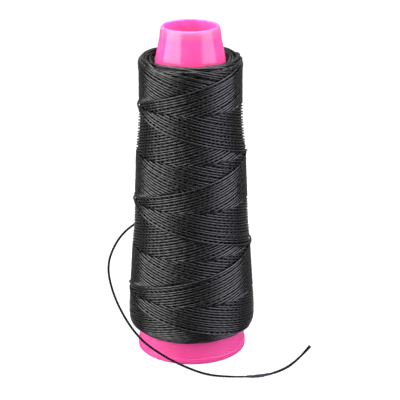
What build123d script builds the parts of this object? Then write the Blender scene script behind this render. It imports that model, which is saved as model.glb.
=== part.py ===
from build123d import *
import os
from math import pi, radians, tan

# A spool of waxed thread, in millimetres. +Z is up along the core's axis, and the origin is the centre of the
# circle that the foot stands on. The core is one moulding. The thread is one length in four stretches: the
# turns that anchor its beginning, the bulk of the winding, the last cover, and the free tail.

# ---- Core, outside -------------------------------------------------------------------------------------------
CORE_HEIGHT = 130.0
LIP_R = 21.35          # proud lip that the foot stands on
LIP_HEIGHT = 2.3
LIP_ROUND = 0.35
LIP_DRAFT = 0.1        # the lip's top edge leans in by this much
BAND_R = 20.9          # plain band above the lip
BAND_TOP = 9.6
CONE_FOOT_R = 20.2     # the winding's cone starts inside the band's top edge
NOSE_START_Z = 117.0   # the cone steepens here, above the winding
NOSE_START_R = 13.4
NOSE_END_Z = 125.4     # the nose's straight side ends here, and its round shoulder starts
NOSE_END_R = 11.7
NOSE_CROWN_R = 11.6    # the shoulder's curve aims at this radius on its way up to the mouth
NOSE_LEAN = 0.25       # and leaves the nose's side leaning in by this much
NOSE_LEAN_RISE = 1.3   # over this rise

# ---- Core, inside --------------------------------------------------------------------------------------------
BORE_R = 10.0          # straight land behind the mouth, which a stand's pin or a winder's cone enters
BORE_LENGTH = 9.6
MOUTH_ROUND = 0.45
WALL = 1.5
FOOT_INNER_R = 19.3    # straight land inside the foot, which a winder's cone or a stand's seat enters
FOOT_INNER_TOP = 8.2
FOOT_CHAMFER = 0.4
SEAT_INSET = 0.6       # the slope from the foot's land to the cone's inside
SEAT_RISE = 3.0

# ---- Thread --------------------------------------------------------------------------------------------------
THREAD_D = 0.8
ANCHOR_START_Z = 12.0
ANCHOR_TURNS = 6
ANCHOR_EDGE = 0.2 * THREAD_D  # the band's outer edges are cut back by this much
COVER = 2.0 * THREAD_D  # the last cover is two threads deep, one of each direction of lay
UNDERSIDE_R = 22.7     # where the winding's flat underside turns up into its side
SHOULDER_R = 24.9      # widest radius, just above the rounded bottom edge
SHOULDER_Z = 15.0
EDGE_R = 24.6          # the bottom edge's curve aims at this corner, a little above the underside
EDGE_RISE = 0.7
EDGE_REACH = 3.0       # and meets the side straight, from this far below
# Side of the winding from its widest radius up: the build-up rises in two soft steps.
SIDE = [(SHOULDER_R, SHOULDER_Z), (24.2, 28.0), (23.5, 38.5), (23.0, 45.5), (22.35, 52.5), (22.0, 62.0),
        (21.5, 73.0), (21.15, 82.0), (20.35, 90.0), (19.9, 98.0), (19.75, 107.0), (19.7, 116.2)]
CORNER_RISE = 2.2      # rounded top edge, up to the ridge
CORNER_REACH = 2.0     # the corner's curve leaves the side straight for this far
RIDGE_R = 17.8
RIDGE_REACH = 0.8      # and meets the ridge level, from this far out
DISH_DEPTH = 1.2       # the end face dips from the ridge towards the core

# ---- Free tail -----------------------------------------------------------------------------------------------
# Leaves the winding at the back on the left, swings round the left side, comes down in front of the foot and
# lies on the table.
TAIL_ROUTE = [
    (-9.8, 20.6, 49.6), (-18.0, 16.2, 47.6), (-26.0, 9.6, 44.8), (-30.6, 2.0, 40.8), (-33.0, -6.2, 35.2),
    (-30.6, -13.6, 27.2), (-25.4, -19.0, 18.0), (-19.0, -22.4, 10.6), (-11.0, -24.8, 5.6), (-2.2, -28.0, 2.2),
    (6.8, -31.4, 0.4), (17.6, -32.8, 0.4), (28.2, -31.6, 0.4), (36.2, -26.2, 0.4), (42.2, -16.6, 0.4),
    (47.0, -6.4, 0.4),
]
ARC_SHARE = 0.45       # each arc takes this share of its shorter run


def cone_r(z):
    """Outside radius of the core, above its foot band and below its shoulder."""
    if z <= NOSE_START_Z:
        return CONE_FOOT_R + (NOSE_START_R - CONE_FOOT_R) * (z - BAND_TOP) / (NOSE_START_Z - BAND_TOP)
    return NOSE_START_R + (NOSE_END_R - NOSE_START_R) * (z - NOSE_START_Z) / (NOSE_END_Z - NOSE_START_Z)


def turned(edges):
    """The solid that a closed outline in the XZ plane sweeps about the Z axis."""
    outline = make_face(Plane.XZ * Wire(edges))
    return revolve(outline, axis=Axis.Z)


def polyline(points):
    return Polyline(*points).edges()


def core():
    """The moulding: lip, band, cone, steeper nose and rounded mouth, hollow all through."""
    crest = (BORE_R + MOUTH_ROUND, CORE_HEIGHT)
    mouth_end = (BORE_R, CORE_HEIGHT - MOUTH_ROUND)
    bore_end = (BORE_R, CORE_HEIGHT - MOUTH_ROUND - BORE_LENGTH)
    nose_end = (NOSE_END_R, NOSE_END_Z)
    lean = (NOSE_END_R - NOSE_LEAN, NOSE_END_Z + NOSE_LEAN_RISE)
    shoulder = Bezier(nose_end, lean, (NOSE_CROWN_R, CORE_HEIGHT), crest)
    mouth = RadiusArc(crest, mouth_end, -MOUTH_ROUND)
    foot_edge = (FOOT_INNER_R + FOOT_CHAMFER, 0)
    inside = [
        mouth_end, bore_end, (NOSE_START_R - WALL, NOSE_START_Z - WALL),
        (FOOT_INNER_R - SEAT_INSET, FOOT_INNER_TOP + SEAT_RISE), (FOOT_INNER_R, FOOT_INNER_TOP),
        (FOOT_INNER_R, FOOT_CHAMFER), foot_edge,
    ]
    outside = [
        foot_edge, (LIP_R - LIP_ROUND, 0), (LIP_R, LIP_ROUND), (LIP_R, LIP_HEIGHT - LIP_ROUND),
        (LIP_R - LIP_DRAFT, LIP_HEIGHT), (BAND_R, LIP_HEIGHT), (BAND_R, BAND_TOP), (CONE_FOOT_R, BAND_TOP),
        (NOSE_START_R, NOSE_START_Z), nose_end,
    ]
    return turned([*polyline(inside), *polyline(outside), shoulder.edge(), mouth.edge()])


def package(skin):
    """The wound package, with its side and both ends moved in by skin."""
    bottom = BAND_TOP + skin
    widest = SHOULDER_R - skin
    side = [(r - skin, z) for r, z in SIDE]
    top_r, top_z = side.pop()
    side.append((top_r, top_z - skin))
    ridge_z = top_z + CORNER_RISE - skin
    dish_z = ridge_z - DISH_DEPTH
    start = (UNDERSIDE_R - skin, bottom)
    ridge = (RIDGE_R, ridge_z)
    edge = Bezier(start, (EDGE_R - skin, bottom + EDGE_RISE), (widest, SHOULDER_Z - EDGE_REACH), side[0])
    wall = Spline(*side, tangents=((0, 1), (0, 1)))
    corner = Bezier(side[-1], (top_r, top_z - skin + CORNER_REACH), (RIDGE_R + RIDGE_REACH, ridge_z), ridge)
    inner = [ridge, (cone_r(dish_z), dish_z)]
    if dish_z > NOSE_START_Z:
        inner.append((NOSE_START_R, NOSE_START_Z))
    inner += [(cone_r(bottom), bottom), start]
    return turned([edge.edge(), wall.edge(), corner.edge(), *polyline(inner)])


def anchor():
    """First turns, side by side on the cone, as one band a thread thick."""
    top = ANCHOR_START_Z + ANCHOR_TURNS * THREAD_D
    low, high = cone_r(ANCHOR_START_Z), cone_r(top)
    low_out, high_out = low + THREAD_D, high + THREAD_D
    return turned(polyline([
        (low, ANCHOR_START_Z), (low_out - ANCHOR_EDGE, ANCHOR_START_Z), (low_out, ANCHOR_START_Z + ANCHOR_EDGE),
        (high_out, top - ANCHOR_EDGE), (high_out - ANCHOR_EDGE, top), (high, top), (low, ANCHOR_START_Z),
    ]))


def tail():
    """The free end: straight runs joined by tangent arcs, each as large as its runs allow."""
    points = [Vector(*p) for p in TAIL_ROUTE]
    runs = [b - a for a, b in zip(points, points[1:])]
    radii = []
    for before, after in zip(runs, runs[1:]):
        half_turn = radians(before.get_angle(after)) / 2
        radii.append(ARC_SHARE * min(before.length, after.length) / tan(half_turn))
    path = FilletPolyline(*points, radius=radii)
    start = Plane(origin=path @ 0, z_dir=path % 0)
    tube = sweep(start * Circle(THREAD_D / 2), path=path)
    section = pi * (THREAD_D / 2) ** 2
    print("tail runs", [round(run.length, 1) for run in runs])
    print("tail radii", [round(radius, 1) for radius in radii])
    print("tail length", round(path.length, 2), "volume", round(tube.volume, 3), "section x length",
          round(section * path.length, 3))
    return tube


outer = package(0)
inside_cover = package(COVER)
anchor_turns = anchor()
nodes = {
    "spool_core": core(),
    "anchor_turns": anchor_turns,
    "inner_winding": inside_cover - anchor_turns,
    "outer_winding": outer - inside_cover,
    "thread_tail": tail() - outer,
}

os.makedirs("parts", exist_ok=True)
for name, solid in nodes.items():
    export_step(solid, f"parts/{name}.step")
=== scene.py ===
from math import atan2, cos, hypot, pi, radians, sin

import bpy
import numpy as np
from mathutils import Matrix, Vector
from mathutils.bvhtree import BVHTree


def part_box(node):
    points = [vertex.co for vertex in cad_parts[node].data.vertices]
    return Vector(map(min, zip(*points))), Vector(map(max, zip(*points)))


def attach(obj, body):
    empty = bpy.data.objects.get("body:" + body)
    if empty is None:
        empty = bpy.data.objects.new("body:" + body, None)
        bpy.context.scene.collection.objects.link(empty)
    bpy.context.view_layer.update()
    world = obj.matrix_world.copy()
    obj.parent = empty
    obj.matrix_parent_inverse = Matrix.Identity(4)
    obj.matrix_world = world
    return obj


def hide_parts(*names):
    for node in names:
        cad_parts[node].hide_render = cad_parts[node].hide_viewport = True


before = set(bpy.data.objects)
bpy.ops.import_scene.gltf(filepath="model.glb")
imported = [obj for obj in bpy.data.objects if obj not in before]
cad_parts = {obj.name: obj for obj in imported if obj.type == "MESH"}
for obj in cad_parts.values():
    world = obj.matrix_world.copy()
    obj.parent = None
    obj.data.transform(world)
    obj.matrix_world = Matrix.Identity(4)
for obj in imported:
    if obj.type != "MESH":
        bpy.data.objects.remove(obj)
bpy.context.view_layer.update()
rng = np.random.default_rng(11)

# A spool of black waxed thread, cross-wound on a moulded pink core, with its free end lying on the table.
# Lengths are in millimetres, and turns are turns about the core's axis. Materials, lights and the floor are
# in metres, as Blender has them.
MM = 0.001

# ---- Core, outside. The CAD frame gives the overall sizes. -----------------------------------------------
CORE_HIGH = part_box("spool_core")[1] / MM
WOUND_LOW, WOUND_HIGH = (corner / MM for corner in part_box("outer_winding"))
CORE_HEIGHT = CORE_HIGH.z
LIP_R = CORE_HIGH.x
LIP_HEIGHT = 2.3
BAND_R = 20.9
BAND_TOP = WOUND_LOW.z
BAND_DRAFT = 0.05      # the band is wider by this at its foot, and narrower at its top
CONE_FOOT_R = 20.2     # the cone starts inside the band's top edge
NOSE_START_Z = 117.0   # the cone steepens here, above the winding
NOSE_START_R = 13.4
NOSE_END_Z = 124.6     # the nose's straight side ends here, and its round shoulder starts
NOSE_END_R = 11.85
NOSE_LEAN = 0.4        # the shoulder's curve leaves the nose's side leaning in by this much
NOSE_LEAN_RISE = 2.3   # over this rise
NOSE_CROWN_R = 11.55   # and aims at this radius on its way up to the mouth
NOSE_CROWN_DROP = 0.3  # this far below the top

# ---- Core, inside ----------------------------------------------------------------------------------------
BORE_R = 10.0
BORE_LENGTH = 9.6
MOUTH_ROUND = 0.45
WALL = 1.5
FOOT_INNER_R = 19.3
FOOT_INNER_TOP = 8.2
FOOT_CHAMFER = 0.4
SEAT_INSET = 0.6       # the slope from the foot's land to the cone's inside
SEAT_RISE = 3.0

# ---- Thread ----------------------------------------------------------------------------------------------
THREAD_D = 0.8
THREAD_WIDE = 0.73     # a wound thread is under tension, and pressed against its neighbours
THREAD_TALL = 0.74
PLIES = 3
PLY_TURN = 3.4         # length of wound thread in which its plies turn round once

# ---- Winding ---------------------------------------------------------------------------------------------
LAYER = 0.74           # radial distance between two crossing threads
WOUND_TOP = WOUND_HIGH.z
LEAD = 37.6            # rise of the thread in one turn of the spool
THREADS = 34           # parallel threads in one lead, before the pattern closes
SEAM_Z = 99.75         # the newest rising and falling threads cross at the left at this height
WOUND_HALF_TURNS = 5   # between the bottom and the top of the package
TOP_TURN = SEAM_Z + LEAD / 2
BOTTOM_TURN = SEAM_Z + LEAD / (2 * THREADS) - WOUND_HALF_TURNS * LEAD / 2
TOP_SOFT = 1.3         # how softly the thread turns back at the top and at the bottom
BOTTOM_SOFT = 4.2
TOP_REACH = 1.2        # the turn-backs at the top lie up to this much lower
TOP_RIDE = 0.4         # and up to this much further out
TOP_BAND = 5.0         # within about this distance of the top
SETTLED = 1.5          # distance from a turn-back where a thread has found its own place
LEVEL = 1.2            # nearer than this to a turn-back, neither of two crossing threads is the lower one
DRIFT = 0.07           # a thread wanders to both sides by about this much
STRAY = 0.08           # and lies beside its even place by about this much
UNEVEN = 0.07          # and up to this much deeper
PROUD = 0.22           # the newest thread lies on top of all the others
PROUD_CROSSING = 0.42  # and rises by this much more where it crosses itself
CROSSING_WIDE = 1.3    # over about this many threads to each side
NEWEST_SAG = 0.12      # the newest falling thread hangs below its even place
# Painted shade: a thread's tone falls towards black where it lies under the thread that it crosses, and near
# the top turn-backs.
TONE = 0.55            # a thread's lightness where it lies on top
TONE_SPREAD = 0.4      # from the darkest thread to the lightest
TONE_WAVE = 0.1        # and to both sides along a thread
STEP = 1 / 112         # turns between two points of a wound thread

# ---- Ends of the package ---------------------------------------------------------------------------------
RIDGE_R = 17.8         # the top face is highest here, and dips towards the core
DISH_DEPTH = 1.2
BOTTOM_FACE_R = 22.6   # the bottom face is flat as far out as this, and then rises
BOTTOM_SLOPE = 0.8
END_DIVE = 2.2         # how far the ends of an end turn dive into the package
END_WAVE = 0.22        # and how far it rises and sinks on its way
CROSSING_SHARE = 0.25  # share of the end turns that cross others
CROSSING_SUNK = 0.4    # and lie deeper by this much

# ---- First turns -----------------------------------------------------------------------------------------
ANCHOR_START_Z = 12.4  # middle of the first turn
ANCHOR_TURNS = 5       # from the middle of the first turn to the middle of the last
ANCHOR_LOW, ANCHOR_HIGH = 11.85, 16.95  # the older thread leaves this band free for them
ANCHOR_ROOM = 0.95     # this deep
FIT = 0.02             # distance between the older thread and the core

# ---- Free tail -------------------------------------------------------------------------------------------
# The route that the CAD tail follows: it leaves the winding at the back on the left, swings round the left
# side, comes down in front of the foot and lies on the table.
TAIL_ROUTE = [
    (-9.8, 20.6, 49.6), (-18.0, 16.2, 47.6), (-26.0, 9.6, 44.8), (-30.6, 2.0, 40.8), (-33.0, -6.2, 35.2),
    (-30.6, -13.6, 27.2), (-25.4, -19.0, 18.0), (-19.0, -22.4, 10.6), (-11.0, -24.8, 5.6), (-2.2, -28.0, 2.2),
    (6.8, -31.4, 0.4), (17.6, -32.8, 0.4), (28.2, -31.6, 0.4), (36.2, -26.2, 0.4), (42.2, -16.6, 0.4),
    (47.0, -6.4, 0.4),
]
TAIL_TURN = 3.6        # length of tail in which its plies turn round once
PLY_D = 0.56
PLY_OUT = 0.21         # from the thread's middle to a ply's middle
FLAT_AT, FLAT_LONG = 34.3, 4.2    # where it was pressed flat: the distance from the tip, and half the length
THIN_AT, THIN_LONG = 42.5, 3.0    # the same for its thin place
THICK_AT, THICK_LONG = 23.0, 9.0  # and for its thick place
FLAT_LIFT = 0.3        # the flat place stands up from the table by this much
FLAT_PLY_GAP = 0.42    # with its plies this far apart
FLAT_SHIFT = 0.7       # and off the route by this much
LOOSE_START, LOOSE_LONG = 1.2, 7.0  # the plies come apart over the last stretch, before the cut tip
LOOSE_OUT = 0.17       # where they spread by this much
LOOSE_LIFT = 0.2       # rise from the table by this much
LOOSE_UNTWIST = 0.35   # and lose this share of their twist
HAIRS = 9              # loose fibres at the cut tip
HAIR_WIDE, HAIR_TALL = 0.09, 0.07
HAIR_SHORT, HAIR_SPREAD = 0.5, 0.9  # the shortest one's length, and how much longer others are at most
LAST_GUIDE = 44.85     # from here the newest thread rides over its neighbours to where it leaves as the tail
LAST_TURN = atan2(TAIL_ROUTE[0][1], TAIL_ROUTE[0][0]) / (2 * pi)

# ---- Camera ----------------------------------------------------------------------------------------------
CAMERA_PLACE = Vector((3.9, -543.3, 257.09))
CAMERA_DOWN = 0.3471   # how far it looks down, in radians
CAMERA_ROLL = 0.0023
LENS = 133.6
SENSOR = 36.0


def make_camera():
    data = bpy.data.cameras.new("camera")
    data.sensor_width = SENSOR
    data.lens = LENS
    data.clip_start = 0.01
    data.clip_end = 20.0
    camera = bpy.data.objects.new("camera", data)
    camera.location = CAMERA_PLACE * MM
    camera.rotation_euler = (pi / 2 - CAMERA_DOWN, CAMERA_ROLL, 0)
    bpy.context.scene.collection.objects.link(camera)
    bpy.context.scene.camera = camera


# ---- Shape helpers ---------------------------------------------------------------------------------------
def smooth_step(x):
    x = np.clip(x, 0.0, 1.0)
    return x * x * (3 - 2 * x)


def hump(x, centre, half):
    """1 at the centre, and close to 0 from about twice this half length on."""
    return np.exp(-((x - centre) / half) ** 2)


def unit(vectors):
    return vectors / np.linalg.norm(vectors, axis=1)[:, None]


def distances(points):
    """The distance of each point from the first, along the line through them."""
    return np.concatenate([[0], np.cumsum(np.linalg.norm(np.diff(points, axis=0), axis=1))])


def ring_points(r, turn, z):
    """Points at a radius, turn and height, of which radius and height may be the same for all points."""
    angle = 2 * pi * turn
    return np.stack([r * np.cos(angle), r * np.sin(angle), z + 0 * angle], axis=1)


def cone_r(z):
    """Outside radius of the core's long cone."""
    return CONE_FOOT_R + (NOSE_START_R - CONE_FOOT_R) * (z - BAND_TOP) / (NOSE_START_Z - BAND_TOP)


def add_object(name, points, faces, material, uv=None, tone=None):
    """A smooth-shaded mesh object. Points are in millimetres; uv holds one pair for each face corner."""
    mesh = bpy.data.meshes.new(name)
    mesh.from_pydata((np.asarray(points) * MM).tolist(), [], faces)
    mesh.polygons.foreach_set("use_smooth", [True] * len(mesh.polygons))
    if uv is not None:
        layer = mesh.uv_layers.new(name="thread")
        layer.data.foreach_set("uv", np.asarray(uv, np.float32).ravel())
    if tone is not None:
        attribute = mesh.attributes.new("tone", "FLOAT", "POINT")
        attribute.data.foreach_set("value", np.asarray(tone, np.float32))
    mesh.materials.append(material)
    mesh.validate()
    made = bpy.data.objects.new(name, mesh)
    bpy.context.scene.collection.objects.link(made)
    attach(made, "root")
    return made


class Strands:
    """Collects swept threads into one mesh. Its uv is distance along a thread and share of the way round."""

    def __init__(self, sides):
        self.sides = sides
        self.points, self.faces, self.uv, self.tone, self.ends = [], [], [], [], []
        self.count = 0

    def add(self, path, normal, wide, tall, tone, uv_start=0.0):
        """Sweeps an ellipse, wide across the path and tall along normal, with closed ends."""
        path, normal = np.asarray(path, float), np.asarray(normal, float)
        n, sides, start = len(path), self.sides, self.count
        tangent = unit(np.gradient(path, axis=0))
        normal = unit(normal - tangent * np.sum(normal * tangent, axis=1)[:, None])
        across = np.cross(normal, tangent)
        wide, tall, tone = (np.broadcast_to(v, n) for v in (wide, tall, tone))
        angle = np.arange(sides) * 2 * pi / sides
        ring = (across[:, None, :] * (np.cos(angle)[None, :, None] * wide[:, None, None] / 2)
                + normal[:, None, :] * (np.sin(angle)[None, :, None] * tall[:, None, None] / 2))
        self.points.append((path[:, None, :] + ring).reshape(-1, 3))
        self.tone.append(np.repeat(tone, sides))
        i, j = (index.ravel() for index in np.meshgrid(np.arange(n - 1), np.arange(sides), indexing="ij"))
        here, beyond, k = start + i * sides, start + (i + 1) * sides, (j + 1) % sides
        self.faces.append(np.stack([here + j, here + k, beyond + k, beyond + j], axis=1))
        along = distances(path) + uv_start
        u0, u1, v0, v1 = along[i], along[i + 1], j / sides, (j + 1) / sides
        self.uv.append(np.stack([u0, v0, u0, v1, u1, v1, u1, v0], axis=1).reshape(-1, 2))
        self.ends.append((start, start + (n - 1) * sides, along[0], along[-1]))
        self.count += n * sides

    def build(self, name, material):
        faces = np.concatenate(self.faces).tolist()
        uv = [np.concatenate(self.uv)]
        for first, last, u0, u1 in self.ends:
            faces.append([first + j for j in reversed(range(self.sides))])
            faces.append([last + j for j in range(self.sides)])
            uv.append(np.array([[u0, 0.5]] * self.sides + [[u1, 0.5]] * self.sides))
        points, tone = np.concatenate(self.points), np.concatenate(self.tone)
        return add_object(name, points, faces, material, np.concatenate(uv), tone)


def bezier(controls, steps):
    """Points along a Bezier curve, without its last one."""
    points = [np.array(c, float) for c in controls]
    out = []
    for t in np.arange(steps) / steps:
        level = points
        while len(level) > 1:
            level = [a + (b - a) * t for a, b in zip(level, level[1:])]
        out.append(level[0])
    return out


def rounded(before, corner, after, arc_steps):
    """Points round a (radius, height, rounding) corner, between the points before and after it."""
    here = np.array(corner[:2], float)
    back, on = np.array(before, float) - here, np.array(after, float) - here
    back_length, on_length = np.linalg.norm(back), np.linalg.norm(on)
    cut = min(corner[2], 0.45 * back_length, 0.45 * on_length)
    start, end = here + back / back_length * cut, here + on / on_length * cut
    return [*bezier([start, here, end], arc_steps), end]


def filled(outline, spacing):
    """A closed outline with points added on its long runs: evenly spaced, and one close to each end."""
    dense = []
    for a, b in zip(outline, outline[1:] + outline[:1]):
        gap = np.linalg.norm(b - a)
        if gap < 1e-6:
            continue
        dense.append(a)
        if gap > 1.5 * spacing:
            steps = int(np.ceil(gap / spacing))
            near_end = 0.25 * spacing / gap
            dense += [a + (b - a) * f for f in (near_end, *np.arange(1, steps) / steps, 1 - near_end)]
    return np.array(dense)


def outline_with_rounds(corners, spacing=2.0, arc_steps=5):
    """Points along a closed outline of (radius, height, rounding) corners.

    A corner may also be a list of Bezier control points, which is followed as it is."""
    firsts = [c[0] if isinstance(c, list) else c[:2] for c in corners]
    lasts = [c[-1] if isinstance(c, list) else c[:2] for c in corners]
    out = []
    for index, corner in enumerate(corners):
        if isinstance(corner, list):
            out += [*bezier(corner, 4 * arc_steps), np.array(corner[-1], float)]
        else:
            out += rounded(lasts[index - 1], corner, firsts[(index + 1) % len(corners)], arc_steps)
    return filled(out, spacing)


def lathe(name, outline, material, segments=192, wave=None):
    """Turns a closed outline about the Z axis. wave, if given, shifts the radius by angle and height."""
    angle = np.arange(segments) * 2 * pi / segments
    r = np.repeat(outline[:, 0][None, :], segments, axis=0)
    z = np.repeat(outline[:, 1][None, :], segments, axis=0)
    if wave is not None:
        r = r + wave(angle[:, None], z)
    points = np.stack([r * np.cos(angle)[:, None], r * np.sin(angle)[:, None], z], axis=2).reshape(-1, 3)
    count = len(outline)
    i, j = (index.ravel() for index in np.meshgrid(np.arange(segments), np.arange(count), indexing="ij"))
    here, beyond, k = i * count, (i + 1) % segments * count, (j + 1) % count
    faces = np.stack([here + j, beyond + j, beyond + k, here + k], axis=1)
    return add_object(name, points, faces.tolist(), material)


# ---- Materials -------------------------------------------------------------------------------------------
class Nodes:
    """Short names for making a material's node tree."""

    def __init__(self, name):
        self.material = bpy.data.materials.new(name)
        self.material.use_nodes = True
        self.tree = self.material.node_tree
        self.shader = self.tree.nodes["Principled BSDF"]

    def add(self, kind, **settings):
        node = self.tree.nodes.new(kind)
        for key, value in settings.items():
            setattr(node, key, value)
        return node

    def link(self, output, socket):
        self.tree.links.new(output, socket)

    def value(self, socket, given):
        if isinstance(given, bpy.types.NodeSocket):
            self.link(given, socket)
        else:
            socket.default_value = given

    def math(self, operation, a, b=0.0, c=0.0):
        node = self.add("ShaderNodeMath", operation=operation)
        for socket, given in zip(node.inputs, (a, b, c)):
            self.value(socket, given)
        return node.outputs[0]

    def split(self, vector):
        node = self.add("ShaderNodeSeparateXYZ")
        self.link(vector, node.inputs[0])
        return node.outputs

    def noise(self, vector, scale, detail=3.0, roughness=0.5):
        node = self.add("ShaderNodeTexNoise")
        self.link(vector, node.inputs["Vector"])
        for key, number in (("Scale", scale), ("Detail", detail), ("Roughness", roughness)):
            node.inputs[key].default_value = number
        return node.outputs["Fac"]

    def ramp(self, value, low, high, to_low=0.0, to_high=1.0):
        node = self.add("ShaderNodeMapRange")
        self.link(value, node.inputs["Value"])
        for key, number in (("From Min", low), ("From Max", high), ("To Min", to_low), ("To Max", to_high)):
            node.inputs[key].default_value = number
        return node.outputs["Result"]

    def mix(self, factor, a, b):
        """One colour, a, turning into another, b, as the factor goes from 0 to 1."""
        node = self.add("ShaderNodeMix", data_type="RGBA")
        self.value(node.inputs["Factor"], factor)
        for socket, given in ((node.inputs[6], a), (node.inputs[7], b)):
            self.value(socket, given if isinstance(given, bpy.types.NodeSocket) else (*given, 1))
        return node.outputs[2]

    def bump(self, height, distance, strength=1.0, after=None):
        node = self.add("ShaderNodeBump")
        node.inputs["Strength"].default_value = strength
        node.inputs["Distance"].default_value = distance
        self.link(height, node.inputs["Height"])
        if after is not None:
            self.link(after, node.inputs["Normal"])
        return node.outputs["Normal"]

    def finish(self, **constants):
        """Sets constants of the shader, named with _ for a space."""
        for key, constant in constants.items():
            self.shader.inputs[key.replace("_", " ")].default_value = constant
        return self.material


BLACK = (0.0012, 0.0012, 0.0014)
PINK_DEEP = (0.885, 0.066, 0.266)
PINK_LIGHT = (0.915, 0.076, 0.286)
# Painted light: the top edge of the nose and the inside of the mouth are painted paler, for light that the
# round shoulder reflects and that shines through the thin wall.
PINK_RIM_PAINTED_LIGHT = (0.92, 0.108, 0.258)
PINK_MOUTH_PAINTED_LIGHT = (0.92, 0.115, 0.37)


def thread_material(name, rough_low, rough_high, specular, pale=0.004):
    """Black waxed thread: plies twisted together, with wax that is duller, or as pale as given, in places. A
    thread is painted darker where it lies under others and near the top turn-backs: painted shade.
    """
    m = Nodes(name)
    along, around, _ = m.split(m.add("ShaderNodeUVMap", uv_map="thread").outputs["UV"])
    place = m.add("ShaderNodeTexCoord").outputs["Object"]
    tone = m.add("ShaderNodeAttribute", attribute_name="tone").outputs["Fac"]

    def waves(each):
        """Waves that run along the thread in a screw, this many on each ply."""
        turns = m.math("MULTIPLY_ADD", around, each * PLIES, m.math("MULTIPLY", along, each / PLY_TURN))
        return m.math("SINE", m.math("MULTIPLY", turns, 2 * pi))

    wax = m.noise(place, scale=260.0, detail=3.0, roughness=0.55)
    grain = m.noise(place, scale=2200.0, detail=2.0)
    # Random wax, and painted shade: the colour falls towards black where the thread lies under others and
    # near the top turn-backs.
    shade = m.math("ADD", m.math("MULTIPLY", tone, 0.7), m.math("MULTIPLY", wax, 0.5))
    colour = m.mix(m.ramp(shade, 0.2, 0.95), BLACK, (pale, pale, 1.15 * pale))
    m.link(colour, m.shader.inputs["Base Color"])
    dull = m.ramp(tone, 0.0, 0.3, to_low=0.3, to_high=0.0)
    rough = m.math("ADD", m.ramp(wax, 0.35, 0.65, rough_low, rough_high), dull)
    m.link(rough, m.shader.inputs["Roughness"])
    ply_normal = m.bump(waves(1), distance=0.00004, strength=0.38)
    fibre_normal = m.bump(waves(7), distance=0.000006, strength=0.7, after=ply_normal)
    grain_normal = m.bump(grain, distance=0.00001, strength=0.4, after=fibre_normal)
    m.link(grain_normal, m.shader.inputs["Normal"])
    return m.finish(Specular_IOR_Level=specular)


def core_material():
    """Glossy pink moulded plastic with faint flow marks, painted paler at its top edge and inside its mouth:
    painted light, for light that the round shoulder reflects and that shines through the thin wall.
    """
    m = Nodes("pink_plastic")
    place = m.add("ShaderNodeTexCoord").outputs["Object"]
    x, y, z = m.split(place)
    from_axis = m.math("SQRT", m.math("MULTIPLY_ADD", x, x, m.math("MULTIPLY", y, y)))
    cloud = m.noise(place, scale=38.0)
    skin = m.noise(place, scale=900.0, detail=2.0)
    flow = m.noise(place, scale=150.0, detail=2.0, roughness=0.4)
    # Painted light: the last few millimetres below the top are painted paler, for the overhead light that the
    # round shoulder reflects and light shining through the thin wall.
    rim_painted_light = m.ramp(z, (CORE_HEIGHT - 4.2) * MM, (CORE_HEIGHT - 2.4) * MM)
    # Painted light: inside the bore, near the top, the mouth is painted paler, for light shining in through
    # the thin wall.
    bore_painted_light = m.ramp(from_axis, (BORE_R + 0.1) * MM, (BORE_R + 0.4) * MM, to_low=1.0, to_high=0.0)
    painted_light_near_top = m.ramp(z, (CORE_HEIGHT - 14.0) * MM, (CORE_HEIGHT - 8.0) * MM)
    colour = m.mix(m.ramp(cloud, 0.3, 0.7), PINK_DEEP, PINK_LIGHT)
    colour = m.mix(rim_painted_light, colour, PINK_RIM_PAINTED_LIGHT)
    colour = m.mix(m.math("MULTIPLY", bore_painted_light, painted_light_near_top), colour, PINK_MOUTH_PAINTED_LIGHT)
    m.link(colour, m.shader.inputs["Base Color"])
    m.link(m.ramp(flow, 0.3, 0.7, 0.13, 0.17), m.shader.inputs["Roughness"])
    flow_normal = m.bump(flow, distance=0.00002, strength=0.2)
    skin_normal = m.bump(skin, distance=0.000012, strength=0.4, after=flow_normal)
    m.link(skin_normal, m.shader.inputs["Normal"])
    return m.finish(Specular_IOR_Level=0.34, Subsurface_Weight=0.85, Subsurface_Radius=(0.006, 0.003, 0.0045),
                    Subsurface_Scale=1.0)


# ---- Core ------------------------------------------------------------------------------------------------
def make_core(material):
    """The moulding: lip, band, cone, steeper nose and rounded mouth, hollow all through."""
    crest = (BORE_R + MOUTH_ROUND, CORE_HEIGHT)
    outside = [
        (FOOT_INNER_R + FOOT_CHAMFER, 0, 0.12), (LIP_R, 0, 0.5), (LIP_R, LIP_HEIGHT, 0.4),
        (BAND_R + BAND_DRAFT, LIP_HEIGHT + 0.1, 0.12), (BAND_R - BAND_DRAFT, BAND_TOP, 0.25),
        (CONE_FOOT_R, BAND_TOP, 0.1), (NOSE_START_R, NOSE_START_Z, 1.5),
    ]
    shoulder = [
        (NOSE_END_R, NOSE_END_Z), (NOSE_END_R - NOSE_LEAN, NOSE_END_Z + NOSE_LEAN_RISE),
        (NOSE_CROWN_R, CORE_HEIGHT - NOSE_CROWN_DROP), crest,
    ]
    mouth = [crest, (BORE_R + 0.2, CORE_HEIGHT), (BORE_R, CORE_HEIGHT - 0.15), (BORE_R, CORE_HEIGHT - 0.5)]
    inside = [
        (BORE_R, CORE_HEIGHT - MOUTH_ROUND - BORE_LENGTH, 0.6),
        (NOSE_START_R - WALL, NOSE_START_Z - WALL, 0.8),
        (FOOT_INNER_R - SEAT_INSET, FOOT_INNER_TOP + SEAT_RISE, 0.6),
        (FOOT_INNER_R, FOOT_INNER_TOP, 0.5), (FOOT_INNER_R, FOOT_CHAMFER, 0.2),
    ]
    outline = outline_with_rounds([*outside, shoulder, mouth, *inside])
    core = lathe("spool_core_moulding", outline, material)
    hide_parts("spool_core")


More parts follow.
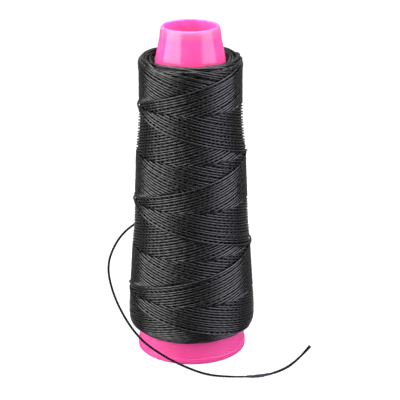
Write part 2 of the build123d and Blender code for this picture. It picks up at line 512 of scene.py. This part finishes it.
# ---- Winding ---------------------------------------------------------------------------------------------
class Package:
    """The wound package's outer surface, measured on the CAD solid.

    Its guide height is the height on the side, and distance along the surface round both edges."""

    EDGE_LOW = 15.0    # the two edges are rounded below and above these heights
    EDGE_HIGH = 116.2

    def __init__(self):
        tree = BVHTree.FromObject(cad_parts["outer_winding"], bpy.context.evaluated_depsgraph_get())
        heights = np.arange(BAND_TOP + 0.04, WOUND_TOP - 0.02, 0.12)
        start = 2 * WOUND_HIGH.x * MM
        hits = [tree.ray_cast(Vector((start, 1e-5, z * MM)), Vector((-1, 0, 0)))[0] for z in heights]
        radius = np.array([hit.x / MM for hit in hits])
        travel = distances(np.stack([radius, heights], axis=1))
        guide = heights.copy()
        below, above = heights < self.EDGE_LOW, heights > self.EDGE_HIGH
        for edge_z, beyond in ((self.EDGE_LOW, below), (self.EDGE_HIGH, above)):
            guide[beyond] = edge_z + (travel - np.interp(edge_z, heights, travel))[beyond]
        self.guide, self.radius, self.height = guide, radius, heights
        slope_r, slope_z = np.gradient(radius, guide), np.gradient(heights, guide)
        size = np.hypot(slope_r, slope_z)
        self.normal_r, self.normal_z = slope_z / size, -slope_r / size

    def at(self, guide):
        """Radius, height and outward normal (radial, upward) at a guide height."""
        values = (self.radius, self.height, self.normal_r, self.normal_z)
        return tuple(np.interp(guide, self.guide, value) for value in values)

    def place(self, guide, turn, depth):
        """Points and normals at a depth under the surface."""
        r, z, normal_r, normal_z = self.at(guide)
        return (ring_points(r - normal_r * depth, turn, z - normal_z * depth),
                ring_points(normal_r, turn, normal_z))


def edge(x, centre, half=0.36):
    """Rises from 0 to 1 across centre, which lies half way between two crossing threads."""
    return smooth_step((x - centre) / (2 * half) + 0.5)


def soft_guide(straight):
    """The guide height of a thread that would be at this height if it turned back sharply."""
    up = TOP_TURN - np.sqrt((TOP_TURN - straight) ** 2 + TOP_SOFT ** 2)
    down = BOTTOM_TURN + np.sqrt((straight - BOTTOM_TURN) ** 2 + BOTTOM_SOFT ** 2)
    return up + down - straight


def wander(turn, phase):
    """A slow sideways drift along a thread."""
    slow, quick = 0.83 * turn + phase, 2.27 * turn + 3 * phase
    return DRIFT * (np.sin(2 * pi * slow) + 0.6 * np.sin(2 * pi * quick))


def even_heights(start, end):
    """Heights along a pass of thread, a step apart."""
    return np.linspace(start, end, int(abs(end - start) / LEAD / STEP) + 1)


# A pass is the thread's way from one end of the package to the other. The two functions return, for points
# along the k-th newest pass up or down: the height if the turn-backs were sharp, the turn, whether the thread
# lies over (1) or under (0) the one that it crosses there, whether it is the newest one of its direction, and
# how near the two newest ones' crossing is. across says which thread of the other direction is crossed there,
# counted from the newest, and starts again every half turn.
def rising_pass(k):
    low, high = BOTTOM_TURN, TOP_TURN
    if k == 0:
        high = LAST_GUIDE + LAST_TURN * LEAD
    if k == THREADS:
        low = LAST_GUIDE
    straight = even_heights(low, high)
    turn = straight / LEAD - SEAM_Z / LEAD + 0.5 + (k - 1) / THREADS
    across = THREADS * np.mod(straight / LEAD + turn - SEAM_Z / LEAD - 0.5, 1.0)
    if k == 0:
        over = np.ones_like(turn)
    elif k == THREADS:
        over = np.zeros_like(turn)
    else:
        over = edge(across, k) * (1 - edge(across, THREADS)) + 1 - edge(across, 0)
    newest = np.where(straight < LAST_GUIDE, k == 0, k == 1).astype(float)
    apart = np.abs(across - 0.5)
    crossing = hump(np.minimum(apart, THREADS - apart), 0, CROSSING_WIDE)
    return straight, turn, over, newest, crossing * (k == 0) * (straight < LAST_GUIDE)


def falling_pass(k):
    straight = even_heights(TOP_TURN, BOTTOM_TURN)
    turn = SEAM_Z / LEAD + 0.5 - straight / LEAD + k / THREADS
    across = THREADS * np.mod(SEAM_Z / LEAD - 0.5 + 1.5 / THREADS - straight / LEAD + turn, 1.0)
    first = np.where(straight > LAST_GUIDE, 1.0, 0.0)
    if k == THREADS - 1:
        over = (across < first).astype(float)
    else:
        before = np.where(across < (k + 1) / 2 + 0.5, 1 - edge(across, first), 0)
        over = edge(across, k + 1) * (1 - edge(across, THREADS)) + before
    newest = np.full_like(turn, float(k == 0))
    crossing = hump(across, 1.5, CROSSING_WIDE)
    return straight, turn, over, newest, crossing * (k == 0) * (straight > LAST_GUIDE)


def lead_out(package, straight, guide, depth):
    """Takes the newest thread's end to the tail's first point, and makes it as wide as the free thread."""
    x = np.clip((straight - LAST_GUIDE) / (straight[-1] - LAST_GUIDE), 0, 1)
    exit_x, exit_y, exit_z = TAIL_ROUTE[0]
    guide = guide - (guide[-1] - exit_z) * x ** 3
    surface_r, _, out_r, _ = package.at(guide[-1])
    leave = (surface_r - hypot(exit_x, exit_y)) / out_r
    depth = depth + (leave - depth) * smooth_step(x / 0.35)
    return guide, depth, THREAD_WIDE + (THREAD_D - THREAD_WIDE) * smooth_step(3 * x - 2)


def wind_cover(package, material):
    """The last cover: every rising and every falling pass, each over the older threads that it crosses.

    Rising pass k + 1 and falling pass k meet in one turn-back at the top, and share its place."""
    reach, ride = TOP_REACH * rng.random(THREADS), TOP_RIDE * rng.random(THREADS)
    reach[0] = ride[0] = 0
    for rising in (True, False):
        strands = Strands(sides=8)
        for k in range(THREADS + rising):
            straight, turn, over, newest, crossing = rising_pass(k) if rising else falling_pass(k)
            phase = rng.random()
            turn_back = k - 1 if rising else k
            uneven = 0 < k < THREADS
            from_turn = np.minimum(TOP_TURN - straight, straight - BOTTOM_TURN)
            settled = 1 - hump(from_turn, 0, SETTLED)
            at_top = hump(straight, TOP_TURN, TOP_BAND)
            stray = wander(turn, phase) + STRAY * np.clip(rng.standard_normal(), -2, 2) * uneven
            guide = soft_guide(straight) + settled * stray - reach[turn_back] * at_top
            over = 0.5 + (over - 0.5) * (1 - hump(from_turn, 0, LEVEL))
            depth = THREAD_TALL / 2 + LAYER * (1 - over) - PROUD * newest * settled
            depth = depth - PROUD_CROSSING * crossing - ride[turn_back] * at_top
            depth = depth + UNEVEN * rng.random() * settled * uneven
            wide = THREAD_WIDE
            if not rising:
                guide = guide - NEWEST_SAG * newest
            elif k == 0:
                guide, depth, wide = lead_out(package, straight, guide, depth)
            tone = TONE + TONE_SPREAD * (rng.random() - 0.5)
            tone = tone + TONE_WAVE * np.sin(2 * pi * (0.31 * turn + phase))
            # Painted shade: a thread is painted darker where it lies under the thread that it crosses, and
            # near the top turn-backs.
            tone = tone * np.clip(over, 0, 1) * (1 - 0.8 * at_top)
            strands.add(*package.place(guide, turn, depth), wide, THREAD_TALL, tone, uv_start=500 * phase)
        made = strands.build("cover_rising" if rising else "cover_falling", material)
        if rising:
            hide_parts("outer_winding")


def make_body(package, material):
    """The older thread under the last cover: it closes the gaps between the cover's threads."""
    rows = 130
    r, z, normal_r, normal_z = package.at(np.linspace(package.guide[0], package.guide[-1], rows))
    skin = 2 * LAYER - 0.05
    outside = np.stack([r - normal_r * skin, z - normal_z * skin], axis=1)
    outside = outside[(outside[:, 1] > BAND_TOP + skin - 0.3) & (outside[:, 0] > RIDGE_R - 0.3)]
    low, high = BAND_TOP + 0.35, WOUND_TOP - 2.6
    inside = [(RIDGE_R - 1.8, high + 0.5), (cone_r(high) + FIT, high)]
    for height, gap in ((ANCHOR_HIGH + 0.05, FIT), (ANCHOR_HIGH - 0.05, ANCHOR_ROOM),
                        (ANCHOR_LOW + 0.05, ANCHOR_ROOM), (ANCHOR_LOW - 0.05, FIT), (low, FIT)):
        inside.append((cone_r(height) + gap, height))
    inside.append((BOTTOM_FACE_R - 0.7, low))

    def weave(angle, height):
        """Shallow lumps where older threads cross, except near the bottom face."""
        across = 2 * pi * THREADS * height / LEAD
        return 0.12 * np.sin(across + angle) * np.sin(across - angle) * (height > BAND_TOP + 3)

    body = lathe("wound_body", np.concatenate([outside, inside]), material, 160, weave)
    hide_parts("inner_winding")


def make_anchor(material):
    """The first turns, side by side on the core, under everything else."""
    strands = Strands(sides=10)
    turn = np.arange(0, ANCHOR_TURNS, STEP)
    z = ANCHOR_START_Z + turn * THREAD_D
    r = cone_r(z) + THREAD_D / 2 + 0.03
    strands.add(ring_points(r, turn, z), ring_points(1, turn, 0), THREAD_D * 0.98, THREAD_D, 0.5)
    anchor = strands.build("anchor_thread", material)
    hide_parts("anchor_turns")


def end_turns(strands, face, up, radii, limits, count, sunk, reach, drift):
    """Where older covers turn back at one end of the package: arcs over the end face that dive at both ends.

    face gives the face's height at a radius, and up is 1 for the top and -1 for the bottom. There are count
    arcs about each of the radii, kept between the two limits. They are sunk into the face, and reach as many
    turns to each side of their middle, drifting outwards on their way or, to cross others, inwards."""
    x = np.linspace(-1, 1, 40)
    for radius in radii:
        start = rng.random()
        for k in range(count):
            middle = start + (k + 0.5 * (rng.random() - 0.5)) / count
            turn = middle + reach * (0.85 + 0.35 * rng.random()) * x
            lump, phase, tone = rng.random(), rng.random(), 0.1 + 0.6 * rng.random()
            crosses = rng.random() < CROSSING_SHARE
            r = np.clip(radius + drift * (0.6 + 0.6 * lump) * (1 - 2 * crosses) * x, *limits)
            z = np.array([face(one) for one in r]) - up * (THREAD_TALL / 2 + sunk + CROSSING_SUNK * crosses)
            z = z + up * (END_WAVE * np.sin(2 * pi * (0.6 * x + phase)) - END_DIVE * np.abs(x) ** 3.6)
            strands.add(ring_points(r, turn, z), ring_points(0.35, turn, up), THREAD_WIDE + 0.15,
                        THREAD_TALL + 0.06, tone, uv_start=500 * phase)


def make_end_turns(package, material, dull):
    edge_part = package.height > package.EDGE_HIGH
    edge_r, edge_z = package.radius[edge_part], package.height[edge_part]

    def top_face(r):
        if r > RIDGE_R:
            return float(np.interp(-r, -edge_r, edge_z))
        return WOUND_TOP - DISH_DEPTH * (RIDGE_R - r) / (RIDGE_R - NOSE_START_R)

    def bottom_face(r):
        return BAND_TOP + max(0.0, BOTTOM_SLOPE * (r - BOTTOM_FACE_R))

    top, bottom, under = (Strands(sides=10) for _ in range(3))
    end_turns(under, top_face, 1, radii=(18.0, 16.6, 15.2), limits=(14.1, 18.6), count=13, sunk=0.95,
              reach=0.11, drift=0.6)
    end_turns(top, top_face, 1, radii=(18.1, 16.8, 15.5), limits=(14.1, 18.7), count=9, sunk=0.0,
              reach=0.12, drift=1.3)
    top.build("end_turns_top", material)
    end_turns(under, bottom_face, -1, radii=(23.6, 22.7, 21.8), limits=(21.5, 23.9), count=20, sunk=0.3,
              reach=0.09, drift=0.4)
    end_turns(bottom, bottom_face, -1, radii=(23.2, 22.2, 21.5), limits=(21.5, 23.7), count=9, sunk=0.0,
              reach=0.11, drift=0.6)
    bottom.build("end_turns_bottom", material)
    # Painted shade: the deeper end turns get the less reflective copy of the thread's material, which darkens
    # them where they show.
    under.build("end_turns_under", dull)


# ---- Free tail -------------------------------------------------------------------------------------------
def tail_points():
    """Points along the smooth route of the free tail, in millimetres."""
    curve = bpy.data.curves.new("tail_route", "CURVE")
    curve.dimensions = "3D"
    spline = curve.splines.new("NURBS")
    spline.points.add(len(TAIL_ROUTE) - 1)
    for point, place in zip(spline.points, TAIL_ROUTE):
        point.co = (*(c * MM for c in place), 1.0)
    spline.order_u = 3
    spline.use_endpoint_u = True
    spline.resolution_u = 44
    route = bpy.data.objects.new("tail_route", curve)
    bpy.context.scene.collection.objects.link(route)
    bpy.context.view_layer.update()
    mesh = bpy.data.meshes.new_from_object(route)
    points = np.array([v.co for v in mesh.vertices], float) / MM
    bpy.data.meshes.remove(mesh)
    bpy.data.objects.remove(route)
    bpy.data.curves.remove(curve)
    return points


def frames(points):
    """The direction along a path that is never upright, and the directions above it and beside it."""
    along = unit(np.gradient(points, axis=0))
    above = unit(np.array([[0.0, 0.0, 1.0]]) - along * along[:, 2:])
    return along, above, np.cross(along, above)


def add_plies(strands, points, up, side):
    """Twisted plies, with a flat, a thin and a thick place, that come apart at the tip."""
    travel = distances(points)
    to_tip = travel[-1] - travel
    flat = hump(to_tip, FLAT_AT, FLAT_LONG)
    thin = hump(to_tip, THIN_AT, THIN_LONG)
    thick = hump(to_tip, THICK_AT, THICK_LONG)
    loose = smooth_step(LOOSE_START - to_tip / LOOSE_LONG)
    spin = travel / TAIL_TURN - LOOSE_UNTWIST * np.cumsum(loose * np.gradient(travel)) / TAIL_TURN
    # How far the plies lie from the middle, and how thick they are.
    out = (PLY_OUT * (1 - 0.25 * thin + 0.25 * thick) + LOOSE_OUT * loose) * (1 - flat)
    size = PLY_D * (1 - 0.22 * thin + 0.15 * thick) * (1 + 0.1 * loose)
    for ply in range(PLIES):
        angle = 2 * pi * (spin + ply / PLIES)
        beside = np.cos(angle) * out + FLAT_SHIFT * flat
        above = np.sin(angle) * out + FLAT_PLY_GAP * (ply - 1) * flat + FLAT_LIFT * flat + LOOSE_LIFT * loose
        centre = points + side * beside[:, None] + up * above[:, None]
        centre[:, 2] = np.maximum(centre[:, 2], 0.6 * size)
        normal = side * np.cos(angle)[:, None] + up * np.sin(angle)[:, None]
        tone = 0.95 * flat - 0.1 * (ply != 1)
        strands.add(centre, normal, size * 1.1, size * 0.95, tone, uv_start=70 * ply)


def add_hairs(strands, tip, along, up, side):
    """Loose fibres at the cut tip, where these are the directions."""
    t = np.linspace(0, 1, 9)[:, None]
    for hair in range(HAIRS):
        length = HAIR_SHORT + HAIR_SPREAD * rng.random()
        lean, bend = 0.5 * rng.standard_normal(2), 0.5 * rng.standard_normal(2)
        reach = along * length * t + (side * lean[0] + up * abs(lean[1])) * t * 0.8
        curl = (side * bend[0] + up * abs(bend[1])) * t ** 2 * 0.5
        line = tip - along * 0.5 + side * 0.25 * rng.standard_normal() + reach + curl
        line[:, 2] = np.maximum(line[:, 2], 0.06)
        strands.add(line, np.tile(up, (len(t), 1)), HAIR_WIDE, HAIR_TALL, 0.0, uv_start=9 * hair)


def make_tail(material):
    """The free end: three twisted plies, pressed flat in one place, that come apart at the cut tip."""
    points = tail_points()
    along, up, side = frames(points)
    strands = Strands(sides=12)
    add_plies(strands, points, up, side)
    add_hairs(strands, points[-1], along[-1], up[-1], side[-1])
    tail = strands.build("thread_tail_end", material)
    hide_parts("thread_tail")


# ---- Stage. The floor and the background look pale to the camera, and add only a little light. -----------
def make_floor():
    mesh = bpy.data.meshes.new("floor")
    half = 3.0
    corners = [(-half, -half, 0), (half, -half, 0), (half, half, 0), (-half, half, 0)]
    mesh.from_pydata(corners, [], [(0, 1, 2, 3)])
    floor = bpy.data.objects.new("floor", mesh)
    bpy.context.scene.collection.objects.link(floor)
    m = Nodes("pale_floor")
    camera_ray = m.add("ShaderNodeLightPath").outputs["Is Camera Ray"]
    m.link(m.math("MULTIPLY", camera_ray, 0.98), m.shader.inputs["Emission Strength"])
    mesh.materials.append(m.finish(Base_Color=(0.12, 0.12, 0.12, 1), Roughness=0.1, Specular_IOR_Level=0.5,
                                   Emission_Color=(1, 1, 1, 1)))


def make_background():
    world = bpy.data.worlds.new("studio")
    bpy.context.scene.world = world
    world.use_nodes = True
    tree = world.node_tree
    sky = tree.nodes["Background"]
    path = tree.nodes.new("ShaderNodeLightPath")
    strength = tree.nodes.new("ShaderNodeMapRange")
    strength.inputs["To Min"].default_value = 0.06
    strength.inputs["To Max"].default_value = 1.0
    tree.links.new(path.outputs["Is Camera Ray"], strength.inputs["Value"])
    tree.links.new(strength.outputs["Result"], sky.inputs["Strength"])
    sky.inputs["Color"].default_value = (1, 1, 1, 1)


def softbox(name, azimuth, height, distance, size, power, colour=(1, 1, 1)):
    """A rectangular soft light that faces the object. Azimuth is in degrees from the camera, to the right."""
    data = bpy.data.lights.new(name, "AREA")
    data.shape = "RECTANGLE"
    data.size, data.size_y = size
    data.energy = power
    data.color = colour
    lamp = bpy.data.objects.new(name, data)
    angle = radians(azimuth)
    lamp.location = (distance * sin(angle), -distance * cos(angle), height)
    target = Vector((0, 0, CORE_HEIGHT / 2 * MM))
    lamp.rotation_euler = (target - lamp.location).to_track_quat("-Z", "Y").to_euler()
    bpy.context.scene.collection.objects.link(lamp)


def make_lights():
    violet = (0.89, 0.85, 1.0)
    softbox("left_box", azimuth=-65, height=0.23, distance=0.6, size=(0.76, 0.7), power=11.3)
    softbox("right_box", azimuth=66, height=0.23, distance=0.6, size=(0.585, 0.7), power=7.3, colour=violet)
    softbox("top_box", azimuth=180, height=0.75, distance=0.02, size=(0.9, 0.5), power=10.5)
    softbox("back_top", azimuth=180, height=0.7, distance=0.5, size=(0.8, 0.5), power=2.0)
    softbox("front_top", azimuth=0, height=0.8, distance=0.35, size=(0.8, 0.3), power=1.9)
    softbox("back_wall", azimuth=180, height=0.4, distance=0.7, size=(4.0, 1.6), power=5)


def main():
    make_camera()
    thread = thread_material("waxed_thread", 0.05, 0.17, specular=0.48)
    loose_end = thread_material("waxed_thread_end", 0.34, 0.46, specular=0.1, pale=0.05)
    # Painted shade: the thread under the cover and the deeper end turns get a copy of the thread's material
    # that reflects less, which darkens them where they show in the gaps.
    under_thread_shaded = thread_material("waxed_thread_under_shaded", 0.4, 0.5, specular=0.22)
    make_tail(loose_end)
    make_core(core_material())
    package = Package()
    wind_cover(package, thread)
    make_end_turns(package, thread, under_thread_shaded)
    make_body(package, under_thread_shaded)
    make_anchor(thread)
    make_floor()
    make_background()
    make_lights()
    bpy.context.scene.view_settings.view_transform = "Standard"


main()
